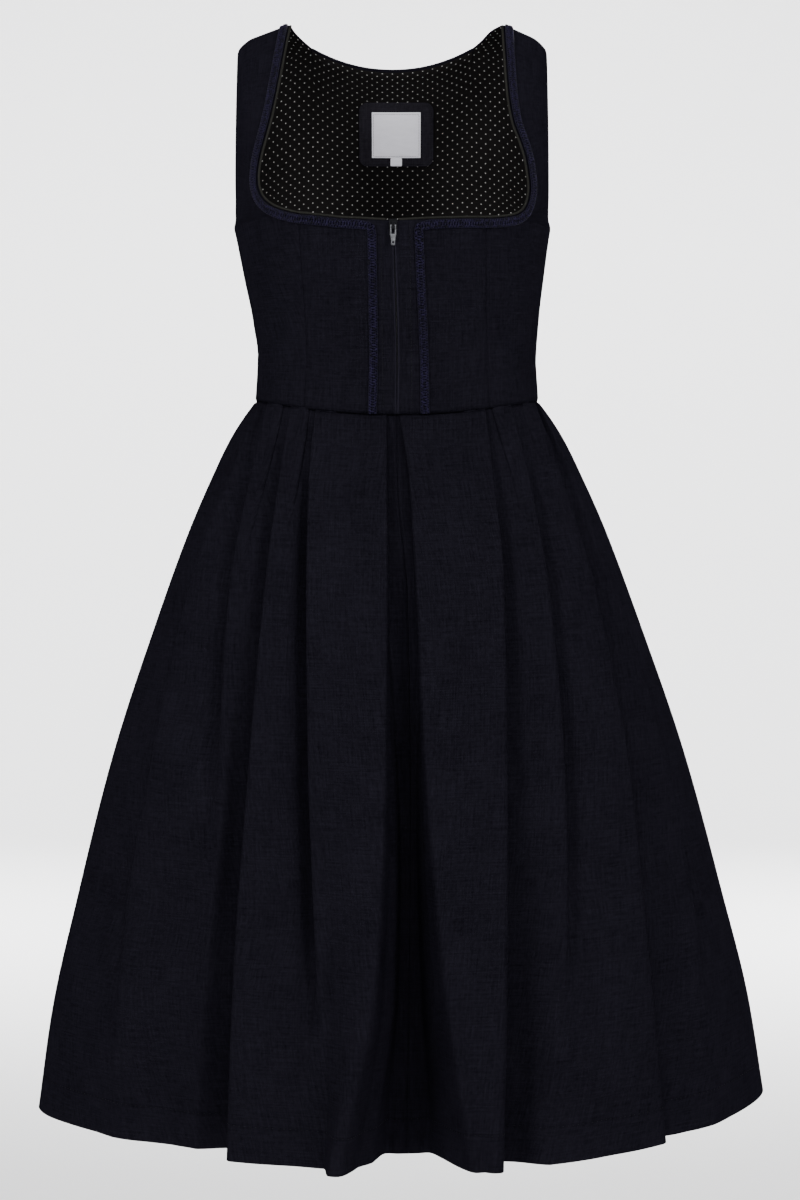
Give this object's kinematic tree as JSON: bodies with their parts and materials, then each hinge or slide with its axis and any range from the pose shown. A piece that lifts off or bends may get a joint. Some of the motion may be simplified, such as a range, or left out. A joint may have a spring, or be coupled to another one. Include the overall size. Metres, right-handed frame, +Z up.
{
  "type": "dirndl dress",
  "caption": "Sleeveless midi dress with a fitted square-neck bodice, front zip, braid trim and a flared pleated skirt, filled out as worn, with no wearer.",
  "frame": {"origin": "midway between the tops of the two shoulder straps, where the wearer's shoulders hold the dress", "axes": "+Z up along the body, -Y towards the front with the zip, +X to the viewer's right when looking at the front"},
  "size_m": [0.6953, 0.5928, 1.0458],
  "materials": {
    "bodice_cloth": "matt navy-black linen-look plain weave",
    "skirt_cloth": "matt navy-black linen-look plain weave",
    "lining_cloth": "black cotton with small white dots",
    "braid": "indigo gimp braid",
    "piping": "grey cloth piping",
    "zip_tape": "dark woven zip tape",
    "zip_metal": "satin silver-grey metal",
    "patch_cloth": "navy cloth patch",
    "label_cloth": "white woven satin label, bare"
  },
  "bodies": {
    "garment": {"bodice_centre_front_right": "bodice_cloth", "bodice_centre_front_left": "bodice_cloth", "bodice_side_front_right": "bodice_cloth", "bodice_side_front_left": "bodice_cloth", "bodice_side_back_right": "bodice_cloth", "bodice_side_back_left": "bodice_cloth", "bodice_centre_back": "bodice_cloth", "skirt_front_right": "skirt_cloth", "skirt_front_left": "skirt_cloth", "skirt_back_right": "skirt_cloth", "skirt_back_left": "skirt_cloth", "lining_back": "lining_cloth", "braid_right": "braid", "braid_left": "braid", "piping_right": "piping", "piping_left": "piping", "zip_tape": "zip_tape", "zip_slider": "zip_metal", "back_patch": "patch_cloth", "label": "label_cloth", "size_tab": "label_cloth"},
    "pull_tab": {"zip_pull": "zip_metal"}
  },
  "joints": [
    {"name": "zip_pull_swing", "type": "hinge", "parent": "garment", "child": "pull_tab", "pos_m": [0.0012, -0.1233, -0.2091], "axis": [-1, 0, 0], "range_deg": [0, 165]}
  ]
}
